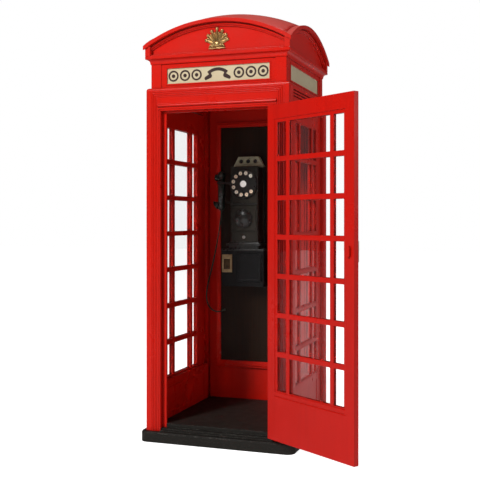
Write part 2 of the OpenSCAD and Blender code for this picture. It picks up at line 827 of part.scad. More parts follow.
module vault_box() {
    color(black) difference() {
        block([phone_x - vault_w / 2, vault_y, vault_lo], [phone_x + vault_w / 2, board_y - 8, vault_hi]);
        // compartment behind the door
        block([vault_door_l - 2, vault_y - e, vault_door_lo - 2],
            [vault_door_r + 2, vault_y + 10, vault_door_hi + 2]);
        block([vault_door_l + 10, vault_y - e, vault_door_lo + 10],
            [vault_door_r - 14, board_y - 20, vault_door_hi - 10]);
        // coin return cup
        block([return_l, vault_y - e, return_lo], [return_r, vault_y + 50, return_hi]);
        translate([return_l - 4, vault_y + 4, return_pin_z]) rotate([0, 90, 0])
            cylinder(h = return_r - return_l + 8, r = 1.55, $fn = 20);
        // hinge pin bores
        for (z = [vault_door_lo - 12, vault_door_hi])
            translate([vault_door_r - 3, vault_y + 5, z]) cylinder(h = 12, r = 2.55, $fn = 24);
    }
}

module vault_door() {
    color([0.12, 0.12, 0.13]) difference() {
        union() {
            block([vault_door_l, vault_y - 5, vault_door_lo], [vault_door_r - 8, vault_y + 8, vault_door_hi]);
            translate([vault_door_r - 3, vault_y + 5, vault_door_lo - 8])
                cylinder(h = vault_door_hi - vault_door_lo + 16, r = 2.5, $fn = 24);
            block([vault_door_r - 10, vault_y + 2.4, vault_door_lo],
                [vault_door_r - 3, vault_y + 7, vault_door_hi]);
        }
        block([vault_door_l + 12, vault_y - 6, vault_door_lo + 12],
            [vault_door_r - 20, vault_y - 3, vault_door_hi - 12]);
    }
}

// brass plate round the coin return
module return_plate() {
    color(brass) difference() {
        block([return_l - 12, vault_y - 5, return_lo - 21], [return_r + 14, vault_y, return_hi + 30]);
        block([return_l, vault_y - 6, return_lo], [return_r, vault_y + e, return_hi]);
    }
}

// flap hung across the top of the coin return
module return_flap() {
    color([0.3, 0.27, 0.2]) {
        block([return_l + 1, vault_y + 3, return_lo + 2.5], [return_r - 1, vault_y + 5, return_pin_z - 1]);
        translate([return_l + 1, vault_y + 4, return_pin_z]) rotate([0, 90, 0])
            cylinder(h = return_r - return_l - 2, r = 3, $fn = 24);
        translate([return_l - 3, vault_y + 4, return_pin_z]) rotate([0, 90, 0])
            cylinder(h = return_r - return_l + 6, r = 1.5, $fn = 20);
    }
}

// fixed bracket and bumper at the left of the housing
module cradle() {
    x0 = phone_x - phone_w / 2;
    color(black) {
        difference() {
            block([x0 - 26, handset_y - 12, hook_z - 10], [x0, handset_y + 12, hook_z + 10]);
            translate([x0 - 14, handset_y - 20, hook_z]) rotate([-90, 0, 0])
                cylinder(h = 40, r = hook_r + 0.05, $fn = 24);
        }
        block([x0 - 37, handset_y - 8, 1374], [x0, handset_y + 8, 1388]);
    }
}

// sprung fork that the handset's collar hangs on
module hook_lever() {
    x0 = phone_x - phone_w / 2;
    color([0.2, 0.2, 0.19]) {
        translate([x0 - 14, handset_y - fork_y + 1, hook_z]) rotate([-90, 0, 0])
            cylinder(h = 2 * fork_y - 2, r = hook_r, $fn = 24);
        for (s = [-1, 1])
            block([handset_x - handset_r + 2, handset_y + s * fork_y - 2.7, hook_z - 5],
                [x0 - 9, handset_y + s * fork_y + 2.7, hook_z + 5]);
    }
}

// ---- handset ----

module handset_core() {
    translate([0, 0, 1352]) cylinder(h = 207, r = handset_r, $fn = 40);
    for (z = [1352, 1559]) translate([0, 0, z]) sphere(r = handset_r + 1.5, $fn = 40);
    translate([0, 0, handset_lo]) cylinder(h = 20, r = 7, $fn = 24);
}

module handset_handle() {
    color([0.1, 0.14, 0.11]) translate([handset_x, handset_y, 0]) {
        handset_core();
        translate([0, 0, hook_z + 5.3]) cylinder(h = 7, r = fork_y + 3, $fn = 40);
    }
}

// receiver cup, faces left
module ear_cap() {
    color([0.1, 0.14, 0.11]) translate([handset_x, handset_y, 0]) difference() {
        translate([0, 0, 1541]) rotate([0, -90, 0]) rotate_extrude($fn = 48)
            polygon([[0, 10], [13, 10], [15, 20], [20, 23], [22, 27], [22, 36], [19, 41], [12, 43], [0, 40]]);
        handset_core();
    }
}

// flared mouthpiece, faces left and down
module mouth_cap() {
    color([0.1, 0.14, 0.11]) translate([handset_x, handset_y, 0]) difference() {
        translate([0, 0, 1384]) rotate([0, -120, 0]) rotate_extrude($fn = 48)
            polygon([[0, 8], [13, 8], [15, 22], [20, 32], [28, 39], [30, 43], [28, 46], [22, 44],
                [12, 38], [0, 36]]);
        handset_core();
    }
}

// flexible cord, hanging from the mouth cap round to the board
function unit(v) = v / norm(v);
function mix(a, b, t) = a + (b - a) * t;
function curve(p, i, t) = let (n = len(p))
    let (a = p[max(i - 1, 0)])
    let (b = p[i])
    let (c = p[min(i + 1, n - 1)])
    let (d = p[min(i + 2, n - 1)])
    0.5 * (2 * b + (c - a) * t + (2 * a - 5 * b + 4 * c - d) * t * t + (3 * b - a - 3 * c + d) * t * t * t);
cord_line = concat([for (i = [0:len(cord_pts) - 2]) for (k = [0:3]) curve(cord_pts, i, k / 4)],
    [cord_pts[len(cord_pts) - 1]]);
// the ends are cut square: straight down out of the handset, straight back into the gland
function along(q, i) = i == 0 ? [0, 0, -1] : i == len(q) - 1 ? [0, 1, 0] : unit(q[i + 1] - q[i - 1]);
module cord() {
    last = len(cord_line) - 1;
    ring = [for (i = [0:last]) for (k = [0:cord_n - 1])
        let (t = along(cord_line, i))
        let (u = unit(cross(t, [0.2, 1, 0.1])))
        let (v = cross(t, u))
        cord_line[i] + cord_r * (u * cos(360 * k / cord_n) + v * sin(360 * k / cord_n))];
    sides = [for (i = [0:last - 1]) for (k = [0:cord_n - 1])
        let (k2 = (k + 1) % cord_n)
        each [[i * cord_n + k, i * cord_n + k2, (i + 1) * cord_n + k2],
            [i * cord_n + k, (i + 1) * cord_n + k2, (i + 1) * cord_n + k]]];
    color([0.06, 0.12, 0.08]) polyhedron(points = ring,
        faces = concat(sides, [[for (k = [cord_n - 1:-1:0]) k]],
            [[for (k = [0:cord_n - 1]) last * cord_n + k]]));
}

module cord_gland() {
    color([0.06, 0.12, 0.08]) translate([gland[0], board_y, gland[1]]) rotate([90, 0, 0])
        cylinder(h = 8, r = 9, $fn = 24);
}

plinth();
floor_plate();
threshold();
corner_posts();
front_surround();
left_surround();
right_surround();
back_surround();
door_stops();
left_window();
right_window();
left_glass();
right_glass();
left_beads();
right_beads();
left_lower_panel();
right_lower_panel();
back_panel();
board_frame();
backboard();
shoulder_ring();
frieze();
sign_panels();
sign_frames();
cornice();
pediments();
roof_dome();
emblem();
ceiling();
lamp_base();
lamp_lens();
frame_hinges();
door_leaf();
door_glass();
door_beads();
door_hinges();
pull_inner();
pull_outer();
phone_backplate();
phone_housing();
coin_gauge();
dial_bezel();
number_plate();
phone_panel();
phone_boss();
phone_lock();
phone_ledges();
vault_box();
return_plate();
cradle();
finger_wheel();
dial_card();
vault_door();
return_flap();
hook_lever();
handset_handle();
ear_cap();
mouth_cap();
cord();
cord_gland();
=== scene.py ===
# Street telephone kiosk of painted iron with a glazed door and a wall payphone:
# finishes and finer pieces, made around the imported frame.
import json
from math import cos, pi, radians, sin

import bpy
from mathutils import Matrix, Vector

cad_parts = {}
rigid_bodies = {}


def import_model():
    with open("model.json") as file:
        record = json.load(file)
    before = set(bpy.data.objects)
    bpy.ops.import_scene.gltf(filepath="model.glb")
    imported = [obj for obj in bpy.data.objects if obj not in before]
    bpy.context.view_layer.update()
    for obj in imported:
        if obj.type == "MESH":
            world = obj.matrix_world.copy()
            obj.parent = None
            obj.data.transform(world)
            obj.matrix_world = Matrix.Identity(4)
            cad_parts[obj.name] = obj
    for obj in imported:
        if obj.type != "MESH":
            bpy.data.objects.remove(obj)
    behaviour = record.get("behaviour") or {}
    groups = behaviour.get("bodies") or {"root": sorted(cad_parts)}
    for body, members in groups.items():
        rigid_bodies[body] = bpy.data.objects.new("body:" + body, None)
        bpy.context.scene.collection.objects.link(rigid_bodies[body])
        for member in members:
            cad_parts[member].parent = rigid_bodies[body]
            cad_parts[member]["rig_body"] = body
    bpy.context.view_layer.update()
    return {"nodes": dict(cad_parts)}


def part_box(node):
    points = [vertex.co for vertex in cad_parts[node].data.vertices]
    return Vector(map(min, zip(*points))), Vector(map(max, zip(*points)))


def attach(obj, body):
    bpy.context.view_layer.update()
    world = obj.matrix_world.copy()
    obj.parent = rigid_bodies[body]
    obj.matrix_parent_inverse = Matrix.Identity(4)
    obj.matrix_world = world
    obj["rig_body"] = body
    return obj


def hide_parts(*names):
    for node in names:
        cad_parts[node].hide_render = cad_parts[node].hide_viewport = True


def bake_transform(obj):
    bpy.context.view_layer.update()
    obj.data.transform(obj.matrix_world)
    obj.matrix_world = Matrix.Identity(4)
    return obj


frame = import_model()


# ---- Camera ----
# A level camera in front of the kiosk and to its right, at the height of a
# standing person's chest, with the horizon a little above the picture's middle.
bpy.ops.object.camera_add(location=(1.716, -4.882, 1.265), rotation=(radians(90), 0, radians(19.43)))
camera = bpy.context.object
camera.data.lens = 64.14
camera.data.sensor_width = 36
camera.data.shift_y = -0.041
bpy.context.scene.camera = camera


# ---- Shared ways of making a finish ----
# Object coordinates feed noise; groups give masks and heights that several finishes use.
def add_node(tree, kind, inputs=None, **settings):
    made = tree.nodes.new(kind)
    for name, value in settings.items():
        setattr(made, name, value)
    for name, value in (inputs or {}).items():
        if isinstance(value, bpy.types.NodeSocket):
            tree.links.new(value, made.inputs[name])
        else:
            made.inputs[name].default_value = value
    return made


def new_group(name, inputs, outputs):
    group = bpy.data.node_groups.new(name, "ShaderNodeTree")
    for label, kind, value in inputs:
        socket = group.interface.new_socket(name=label, in_out="INPUT", socket_type=kind)
        if value is not None:
            socket.default_value = value
    for label, kind in outputs:
        group.interface.new_socket(name=label, in_out="OUTPUT", socket_type=kind)
    return group, add_node(group, "NodeGroupInput").outputs, add_node(group, "NodeGroupOutput").inputs


# slow changes of tone, such as fading or old polish
CLOUDS, given, result = new_group(
    "clouds",
    [("Vector", "NodeSocketVector", None), ("Scale", "NodeSocketFloat", 3.0), ("Low", "NodeSocketFloat", 0.35),
     ("High", "NodeSocketFloat", 0.7)],
    [("Mask", "NodeSocketFloat")])
noise = add_node(CLOUDS, "ShaderNodeTexNoise",
                 {"Vector": given["Vector"], "Scale": given["Scale"], "Detail": 6.0, "Roughness": 0.6})
spread = add_node(CLOUDS, "ShaderNodeMapRange",
                  {"Value": noise.outputs["Fac"], "From Min": given["Low"], "From Max": given["High"]})
CLOUDS.links.new(spread.outputs["Result"], result["Mask"])

# marks that rain or wiping leaves, long in height and narrow across
STREAKS, given, result = new_group(
    "streaks",
    [("Vector", "NodeSocketVector", None), ("Across", "NodeSocketFloat", 30.0), ("Low", "NodeSocketFloat", 0.5),
     ("High", "NodeSocketFloat", 0.8)],
    [("Mask", "NodeSocketFloat")])
stretch = add_node(STREAKS, "ShaderNodeVectorMath", {0: given["Vector"], 1: (1.0, 1.0, 0.05)}, operation="MULTIPLY")
noise = add_node(STREAKS, "ShaderNodeTexNoise",
                 {"Vector": stretch.outputs[0], "Scale": given["Across"], "Detail": 4.0, "Roughness": 0.55})
spread = add_node(STREAKS, "ShaderNodeMapRange",
                  {"Value": noise.outputs["Fac"], "From Min": given["Low"], "From Max": given["High"]})
STREAKS.links.new(spread.outputs["Result"], result["Mask"])

# painted shade: colour darkened in corners and under edges, where ambient occlusion finds them, broken up by noise
HOLLOW_SHADE, given, result = new_group(
    "hollow_shade",
    [("Vector", "NodeSocketVector", None), ("Reach", "NodeSocketFloat", 0.03), ("Amount", "NodeSocketFloat", 0.8)],
    [("Mask", "NodeSocketFloat")])
hidden = add_node(HOLLOW_SHADE, "ShaderNodeAmbientOcclusion", {"Distance": given["Reach"]}, samples=4)
closed = add_node(HOLLOW_SHADE, "ShaderNodeMapRange",
                  {"Value": hidden.outputs["AO"], "From Min": 0.75, "From Max": 0.25})
noise = add_node(HOLLOW_SHADE, "ShaderNodeTexNoise", {"Vector": given["Vector"], "Scale": 55.0, "Detail": 5.0})
broken = add_node(HOLLOW_SHADE, "ShaderNodeMapRange",
                  {"Value": noise.outputs["Fac"], "From Min": 0.3, "From Max": 0.65, "To Min": 0.35})
both = add_node(HOLLOW_SHADE, "ShaderNodeMath", {0: closed.outputs["Result"], 1: broken.outputs["Result"]},
                operation="MULTIPLY")
amount = add_node(HOLLOW_SHADE, "ShaderNodeMath", {0: both.outputs[0], 1: given["Amount"]}, operation="MULTIPLY")
HOLLOW_SHADE.links.new(amount.outputs[0], result["Mask"])

# edges rubbed through to the metal or the undercoat
RUBBED, given, result = new_group(
    "rubbed_edges",
    [("Vector", "NodeSocketVector", None), ("Width", "NodeSocketFloat", 0.002), ("Breaks", "NodeSocketFloat", 60.0),
     ("Amount", "NodeSocketFloat", 1.0)],
    [("Mask", "NodeSocketFloat")])
rounded = add_node(RUBBED, "ShaderNodeBevel", {"Radius": given["Width"]}, samples=4)
plain = add_node(RUBBED, "ShaderNodeNewGeometry")
turn = add_node(RUBBED, "ShaderNodeVectorMath", {0: rounded.outputs[0], 1: plain.outputs["Normal"]},
                operation="DOT_PRODUCT")
edge = add_node(RUBBED, "ShaderNodeMapRange", {"Value": turn.outputs["Value"], "From Min": 0.99, "From Max": 0.85})
noise = add_node(RUBBED, "ShaderNodeTexNoise",
                 {"Vector": given["Vector"], "Scale": given["Breaks"], "Detail": 6.0, "Roughness": 0.7})
broken = add_node(RUBBED, "ShaderNodeMapRange",
                  {"Value": noise.outputs["Fac"], "From Min": 0.5, "From Max": 0.6})
both = add_node(RUBBED, "ShaderNodeMath", {0: edge.outputs["Result"], 1: broken.outputs["Result"]},
                operation="MULTIPLY")
amount = add_node(RUBBED, "ShaderNodeMath", {0: both.outputs[0], 1: given["Amount"]}, operation="MULTIPLY")
RUBBED.links.new(amount.outputs[0], result["Mask"])


class Finish:
    """One material: a shader, its Object coordinates, and layers of colour put over each other."""

    def __init__(self, name, colour, roughness=0.4, metallic=0.0, **constants):
        self.material = bpy.data.materials.new(name)
        self.material.use_nodes = True
        self.tree = self.material.node_tree
        self.shader = self.tree.nodes["Principled BSDF"]
        self.shader.inputs["Roughness"].default_value = roughness
        self.shader.inputs["Metallic"].default_value = metallic
        for label, value in constants.items():
            self.shader.inputs[label.replace("_", " ")].default_value = value
        self.place = add_node(self.tree, "ShaderNodeTexCoord").outputs["Object"]
        self.colour = add_node(self.tree, "ShaderNodeRGB").outputs[0]
        self.colour.default_value = (*colour, 1)
        self.heights = []

    def mask(self, group, **values):
        made = add_node(self.tree, "ShaderNodeGroup", node_tree=group)
        self.tree.links.new(self.place, made.inputs["Vector"])
        for label, value in values.items():
            made.inputs[label].default_value = value
        return made.outputs["Mask"]

    def noise(self, scale, detail=4.0, stretch=None, low=0.0, high=1.0):
        place = self.place
        if stretch:
            place = add_node(self.tree, "ShaderNodeVectorMath", {0: place, 1: stretch}, operation="MULTIPLY").outputs[0]
        made = add_node(self.tree, "ShaderNodeTexNoise", {"Vector": place, "Scale": scale, "Detail": detail})
        return add_node(self.tree, "ShaderNodeMapRange",
                        {"Value": made.outputs["Fac"], "From Min": low, "From Max": high}).outputs["Result"]

    def cells(self, scale, low=0.0, high=0.5):
        made = add_node(self.tree, "ShaderNodeTexVoronoi", {"Vector": self.place, "Scale": scale})
        return add_node(self.tree, "ShaderNodeMapRange",
                        {"Value": made.outputs["Distance"], "From Min": low, "From Max": high}).outputs["Result"]

    def over(self, mask, colour, share=1.0):
        share = add_node(self.tree, "ShaderNodeMath", {0: mask, 1: share}, operation="MULTIPLY").outputs[0]
        mix = add_node(self.tree, "ShaderNodeMix", data_type="RGBA")
        self.tree.links.new(share, mix.inputs[0])
        self.tree.links.new(self.colour, mix.inputs[6])
        mix.inputs[7].default_value = (*colour, 1)
        self.colour = mix.outputs[2]
        return self

    def vary(self, label, mask, low, high):
        out = add_node(self.tree, "ShaderNodeMapRange", {"Value": mask, "To Min": low, "To Max": high})
        self.tree.links.new(out.outputs["Result"], self.shader.inputs[label])
        return self

    def raised(self, height, distance, strength=1.0):
        self.heights.append((height, distance, strength))
        return self

    def done(self):
        self.tree.links.new(self.colour, self.shader.inputs["Base Color"])
        normal = None
        for height, distance, strength in self.heights:
            bump = add_node(self.tree, "ShaderNodeBump", {"Height": height, "Distance": distance, "Strength": strength})
            if normal:
                self.tree.links.new(normal, bump.inputs["Normal"])
            normal = bump.outputs["Normal"]
        if normal:
            self.tree.links.new(normal, self.shader.inputs["Normal"])
        return self.material


def only(piece):
    bpy.ops.object.select_all(action="DESELECT")
    piece.select_set(True)
    bpy.context.view_layer.objects.active = piece


def apply_all(piece):
    only(piece)
    for modifier in list(piece.modifiers):
        bpy.ops.object.modifier_apply(modifier=modifier.name)


def settle(piece, name, finish, body, nodes=()):
    """Names a finished piece, puts its place into its mesh, paints it and hangs it on its body."""
    only(piece)
    bpy.ops.object.transform_apply(location=True, rotation=True, scale=True)
    piece.name = name
    piece.data.materials.clear()
    piece.data.materials.append(finish)
    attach(piece, body)
    if nodes:
        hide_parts(*nodes)
    return piece


# ---- Handset cord ----
# Rubber-cored cord in a dark green woven cover. It leaves the handset's foot, hangs
# in one long loop and goes into a gland at the backboard's left edge.
cord_route = [(-240, 300, 1326), (-240, 300, 1306), (-247, 300, 1250), (-262, 300, 1160), (-284, 300, 1050),
              (-310, 300, 940), (-334, 301, 850), (-344, 303, 780), (-338, 307, 725), (-318, 315, 690),
              (-292, 327, 672), (-268, 342, 670), (-252, 356, 675), (-248, 365, 678), (-248, 372, 678)]
cord_width = 0.009
points = [Vector(p) / 1000 for p in cord_route]


def smooth_route(route, steps):
    """Points along a curve that passes through every point of the route."""
    found = []
    last = len(route) - 1
    for i in range(last):
        a, b, c, d = route[max(i - 1, 0)], route[i], route[i + 1], route[min(i + 2, last)]
        for k in range(steps):
            t = k / steps
            found.append(0.5 * (2 * b + (c - a) * t + (2 * a - 5 * b + 4 * c - d) * t * t
                                + (3 * b - a - 3 * c + d) * t ** 3))
    return found + [route[-1]]


cord_line = smooth_route(points, 8)
line = bpy.data.curves.new("cord_line", "CURVE")
line.dimensions = "3D"
line.bevel_depth = cord_width / 2
line.bevel_resolution = 3
line.use_fill_caps = True
spline = line.splines.new("POLY")
spline.points.add(len(cord_line) - 1)
for point, place in zip(spline.points, cord_line):
    point.co = (*place, 1)
cord = bpy.data.objects.new("handset_cord", line)
bpy.context.scene.collection.objects.link(cord)
only(cord)
bpy.ops.object.convert(target="MESH")
cord = bpy.context.object
bpy.ops.object.shade_smooth()
cord_finish = Finish("cord_cover", (0.006, 0.020, 0.010), roughness=0.75, Sheen_Weight=0.2)
weave = add_node(cord_finish.tree, "ShaderNodeTexWave",
                 {"Vector": cord_finish.place, "Scale": 260.0, "Distortion": 1.5}, bands_direction="DIAGONAL")
cord_finish.over(weave.outputs["Fac"], (0.018, 0.045, 0.024), 0.6)
cord_finish.raised(weave.outputs["Fac"], 0.0006)
cord.data.materials.append(cord_finish.done())
cord.name = "handset_cord"
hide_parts("cord")
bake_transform(cord)
frame["nodes"]["cord_gland"].data.materials.clear()
frame["nodes"]["cord_gland"].data.materials.append(cord_finish.material)


# ---- Floor and light ----
# A pale studio floor, a broad lamp high at the left with another that only gives the
# gloss its highlights, a weaker one at the right and one over the roof.
def seen_directly(tree):
    """One for what is looked at in the open or through glass, and nought for light on a surface."""
    path = add_node(tree, "ShaderNodeLightPath")
    bounces = add_node(tree, "ShaderNodeMath", {0: path.outputs["Diffuse Depth"], 1: path.outputs["Glossy Depth"]},
                       operation="ADD")
    first = add_node(tree, "ShaderNodeMath", {0: bounces.outputs[0], 1: 0.5}, operation="LESS_THAN")
    through = add_node(tree, "ShaderNodeMath", {0: path.outputs["Is Transmission Ray"], 1: first.outputs[0]},
                       operation="MULTIPLY")
    return add_node(tree, "ShaderNodeMath", {0: path.outputs["Is Camera Ray"], 1: through.outputs[0]},
                    operation="MAXIMUM").outputs[0]


bpy.ops.mesh.primitive_plane_add(size=60, location=(0, 0, 0))
floor = bpy.context.object
floor.name = "studio_floor"
studio = Finish("studio_floor", (0.80, 0.80, 0.80), roughness=0.9, Specular_IOR_Level=0.0,
                Emission_Color=(1, 1, 1, 1))
studio.over(studio.noise(1.0), (0.78, 0.78, 0.78), 0.5)
studio.vary("Emission Strength", seen_directly(studio.tree), 0.08, 0.86)
floor.data.materials.append(studio.done())

bpy.context.scene.view_settings.view_transform = "Standard"
world = bpy.data.worlds.new("studio")
bpy.context.scene.world = world
world.use_nodes = True
backdrop_white, room_light, room_in_gloss = 1.0, 0.26, 0.07
mirrored = add_node(world.node_tree, "ShaderNodeLightPath").outputs["Is Glossy Ray"]
room = add_node(world.node_tree, "ShaderNodeMapRange",
                {"Value": mirrored, "To Min": room_light, "To Max": room_in_gloss})
brightness = add_node(world.node_tree, "ShaderNodeMapRange",
                      {"Value": seen_directly(world.node_tree), "To Min": room.outputs["Result"],
                       "To Max": backdrop_white})
world.node_tree.nodes["Background"].inputs["Color"].default_value = (1, 1, 1, 1)
world.node_tree.links.new(brightness.outputs["Result"], world.node_tree.nodes["Background"].inputs["Strength"])


def lamp(name, place, target, size, power, lights=True, mirrors=True):
    light = bpy.data.lights.new(name, "AREA")
    light.shape = "DISK"
    light.size = size
    light.energy = power
    holder = bpy.data.objects.new(name, light)
    bpy.context.scene.collection.objects.link(holder)
    holder.location = place
    holder.rotation_euler = (Vector(target) - Vector(place)).to_track_quat("-Z", "Y").to_euler()
    holder.visible_diffuse = lights
    holder.visible_glossy = mirrors


lamp("key", (-4.0, -10.8, 7.2), (0.1, 0, 1.3), 2.6, 1270, mirrors=False)
lamp("shine", (-3.6, -9.4, 10.0), (0.1, 0, 1.3), 2.2, 900, lights=False)
lamp("fill", (5.0, -1.1, 2.3), (0.3, 0, 1.3), 2.5, 44)
lamp("roof", (0.5, 1.0, 6.0), (0, 0, 2.4), 2.0, 24)


# ---- Red enamel ----
# The iron of the body and door has many coats of gloss enamel: slightly rippled,
# duller where it has faded, with rain marks, and painted shade darkening it where pieces meet.
def enamel(name, colour, faded):
    paint = Finish(name, colour, roughness=0.34, Specular_IOR_Level=0.2)
    clouds = paint.mask(CLOUDS, Scale=2.2, Low=0.4, High=0.72)
    streaks = paint.mask(STREAKS, Across=26.0, Low=0.52, High=0.8)
    paint.over(clouds, faded, 0.55)
    paint.over(streaks, (colour[0] * 0.6, colour[1] * 0.55, colour[2] * 0.6), 0.35)
    paint.over(paint.noise(160.0, 3.0, low=0.62, high=0.8), (colour[0] * 1.15, colour[1] * 2, colour[2] * 2.4), 0.25)
    # painted shade darkening the enamel where pieces meet
    paint.over(paint.mask(HOLLOW_SHADE, Reach=0.02, Amount=0.75), (0.05, 0.008, 0.005))
    paint.vary("Roughness", clouds, 0.26, 0.44)
    paint.raised(paint.noise(170.0, 2.0), 0.0004, 0.35)
    paint.raised(paint.noise(22.0, 3.0), 0.0016, 0.25)
    return paint.done()


RED = enamel("red_enamel", (0.60, 0.009, 0.003), (0.49, 0.010, 0.004))
DOOR_RED = enamel("door_enamel", (0.52, 0.006, 0.002), (0.42, 0.006, 0.002))


def eased(node, edge, steps=2, sharp=30):
    """A copy of a CAD node, merged, its sharp edges eased and its flat faces shaded flat."""
    source = frame["nodes"][node]
    piece = bpy.data.objects.new(node + "_finished", source.data.copy())
    bpy.context.scene.collection.objects.link(piece)
    only(piece)
    bpy.ops.object.mode_set(mode="EDIT")
    bpy.ops.mesh.select_all(action="SELECT")
    bpy.ops.mesh.remove_doubles(threshold=0.00003)
    bpy.ops.object.mode_set(mode="OBJECT")
    if edge:
        bevel = piece.modifiers.new("eased_edges", "BEVEL")
        bevel.width = edge
        bevel.segments = steps
        bevel.limit_method = "ANGLE"
        bevel.angle_limit = radians(sharp)
        bevel.use_clamp_overlap = False
        bevel.miter_outer = "MITER_ARC"
        apply_all(piece)
    only(piece)
    bpy.ops.object.shade_smooth_by_angle(angle=radians(38))
    if edge:
        flatten = piece.modifiers.new("flat_faces_stay_flat", "WEIGHTED_NORMAL")
        flatten.weight = 100
        flatten.keep_sharp = True
        apply_all(piece)
    return piece


def finish_node(node, finish, edge=0.0, steps=2):
    piece = eased(node, edge, steps)
    return settle(piece, node + "_finished", finish, frame["nodes"][node]["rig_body"], [node])


# ---- Plinth, steps and floor ----
# Cast base in black bitumen paint, scuffed grey along its edges by shoes; rubber
# sheet on the floor, dusty, and scuffed paler along its edges.
def tread_finish(name, colour, roughness, dust, bumps):
    made = Finish(name, colour, roughness=roughness, Specular_IOR_Level=0.25)
    made.over(made.mask(CLOUDS, Scale=5.0, Low=0.35, High=0.75), dust, 0.35)
    made.over(made.mask(RUBBED, Width=0.004, Breaks=45.0, Amount=0.9), (0.16, 0.15, 0.13))
    made.over(made.noise(320.0, 4.0, low=0.6, high=0.75), (0.12, 0.11, 0.10), 0.5)
    made.vary("Roughness", made.noise(14.0), roughness - 0.12, roughness + 0.2)
    made.raised(made.noise(90.0, 6.0), bumps)
    return made.done()


BITUMEN = tread_finish("black_bitumen", (0.011, 0.0095, 0.0075), 0.55, (0.023, 0.020, 0.016), 0.0018)
RUBBER = tread_finish("floor_rubber", (0.018, 0.015, 0.012), 0.6, (0.04, 0.033, 0.027), 0.0010)
finish_node("plinth", BITUMEN, 0.003, 3)
finish_node("threshold", BITUMEN, 0.0015)
finish_node("floor_plate", RUBBER, 0.0015)


# ---- Body castings ----
# Posts, surround plates, window castings, linings and back plate are iron castings
# screwed together; the reeds and beads are cast in one with the plates.
for casting, edge in (("corner_posts", 0), ("front_surround", 0.0008), ("left_surround", 0.0008),
                      ("right_surround", 0.0008), ("back_surround", 0.0008), ("door_stops", 0.0012),
                      ("left_window", 0.0016), ("right_window", 0.0016), ("left_beads", 0.0011),
                      ("right_beads", 0.0011), ("left_lower_panel", 0.002), ("right_lower_panel", 0.002),
                      ("back_panel", 0.002), ("board_frame", 0.0018)):
    finish_node(casting, RED, edge)


# ---- Glass ----
# Clear sheet glass in putty, a little dusty and smeared.
def clear_glass():
    made = Finish("window_glass", (0.995, 1.0, 0.998), roughness=0.01, IOR=1.2, Transmission_Weight=1.0)
    made.vary("Roughness", made.mask(CLOUDS, Scale=9.0, Low=0.45, High=0.8), 0.0, 0.02)
    made.over(made.mask(STREAKS, Across=20.0, Low=0.55, High=0.9), (0.95, 0.96, 0.95), 0.5)
    return made.done()


GLASS = clear_glass()
for pane in ("left_glass", "right_glass", "door_glass"):
    frame["nodes"][pane].data.materials.clear()
    frame["nodes"][pane].data.materials.append(GLASS)


# ---- Backboard ----
# Varnished plywood, nearly black with age, with long upright grain.
def old_board():
    made = Finish("dark_plywood", (0.016, 0.007, 0.003), roughness=0.5, Specular_IOR_Level=0.2)
    grain = made.noise(9.0, 8.0, stretch=(9.0, 9.0, 0.35), low=0.35, high=0.7)
    pores = made.noise(60.0, 4.0, stretch=(9.0, 9.0, 0.3), low=0.5, high=0.75)
    made.over(grain, (0.030, 0.013, 0.006), 0.7)
    made.over(pores, (0.006, 0.004, 0.003), 0.8)
    made.vary("Roughness", grain, 0.34, 0.55)
    made.raised(pores, -0.0005)
    return made.done()


BOARD = old_board()
finish_node("backboard", BOARD, 0.001)


# ---- Frieze, signs and cornice ----
# Cast ring above the shoulder with four lit sign glasses held by thin frames, and
# the hollow-moulded cornice that carries the arched heads.
finish_node("shoulder_ring", RED, 0.0008)
finish_node("frieze", RED, 0.0016)
finish_node("sign_frames", RED, 0.0009)
finish_node("cornice", RED, 0.0008)


def opal_glass():
    made = Finish("opal_glass", (0.62, 0.53, 0.35), roughness=0.3, Coat_Weight=0.3, Coat_Roughness=0.08)
    made.over(made.mask(CLOUDS, Scale=14.0, Low=0.35, High=0.75), (0.52, 0.42, 0.25), 0.6)
    # painted shade darkening the sign glass round its edges, under the frames
    made.over(made.mask(HOLLOW_SHADE, Reach=0.03, Amount=0.5), (0.25, 0.19, 0.11))
    made.vary("Roughness", made.noise(40.0), 0.22, 0.4)
    return made.done()


OPAL = opal_glass()
finish_node("sign_panels", OPAL, 0.0006)


# ---- Sign marks ----
# Dark marks printed on the front and back sign glasses, a handset in the middle with
# three dial rings on each side of it; the side glasses are left plain.
def ink():
    made = Finish("sign_ink", (0.030, 0.010, 0.008), roughness=0.45)
    made.over(made.noise(90.0, 4.0, low=0.5, high=0.8), (0.07, 0.03, 0.02), 0.5)
    return made.done()


INK = ink()
sign_low, sign_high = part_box("sign_panels")
sign_middle = (sign_low.z + sign_high.z) / 2
mark_thickness = 0.0012
marks = []


def printed(outline, hole=None):
    """A thin flat mark with this outline, as seen from the front, with a hole if one is given."""
    shape = bpy.data.curves.new("mark", "CURVE")
    shape.dimensions = "2D"
    shape.fill_mode = "BOTH"
    shape.extrude = mark_thickness / 2
    for loop in (outline, hole):
        if loop:
            edge = shape.splines.new("POLY")
            edge.points.add(len(loop) - 1)
            for point, (x, y) in zip(edge.points, loop):
                point.co = (x, y, 0, 1)
            edge.use_cyclic_u = True
    mark = bpy.data.objects.new("mark", shape)
    bpy.context.scene.collection.objects.link(mark)
    only(mark)
    bpy.ops.object.convert(target="MESH")
    mark = bpy.context.object
    mark.data.transform(Matrix.Rotation(pi / 2, 4, "X"))
    mark.data.transform(Matrix.Translation((0, sign_low.y - mark_thickness / 2, sign_middle)))
    marks.append(mark)


def round_outline(x, y, radius, count=36):
    return [(x + radius * cos(2 * pi * k / count), y + radius * sin(2 * pi * k / count)) for k in range(count)]


ring_radius, ring_width, ring_step, first_ring = 0.0315, 0.0095, 0.071, 0.127
for side in (-1, 1):
    for k in range(3):
        middle = side * (first_ring + k * ring_step)
        printed(round_outline(middle, 0, ring_radius), round_outline(middle, 0, ring_radius - ring_width))
        printed(round_outline(middle, 0, 0.0105, 20))
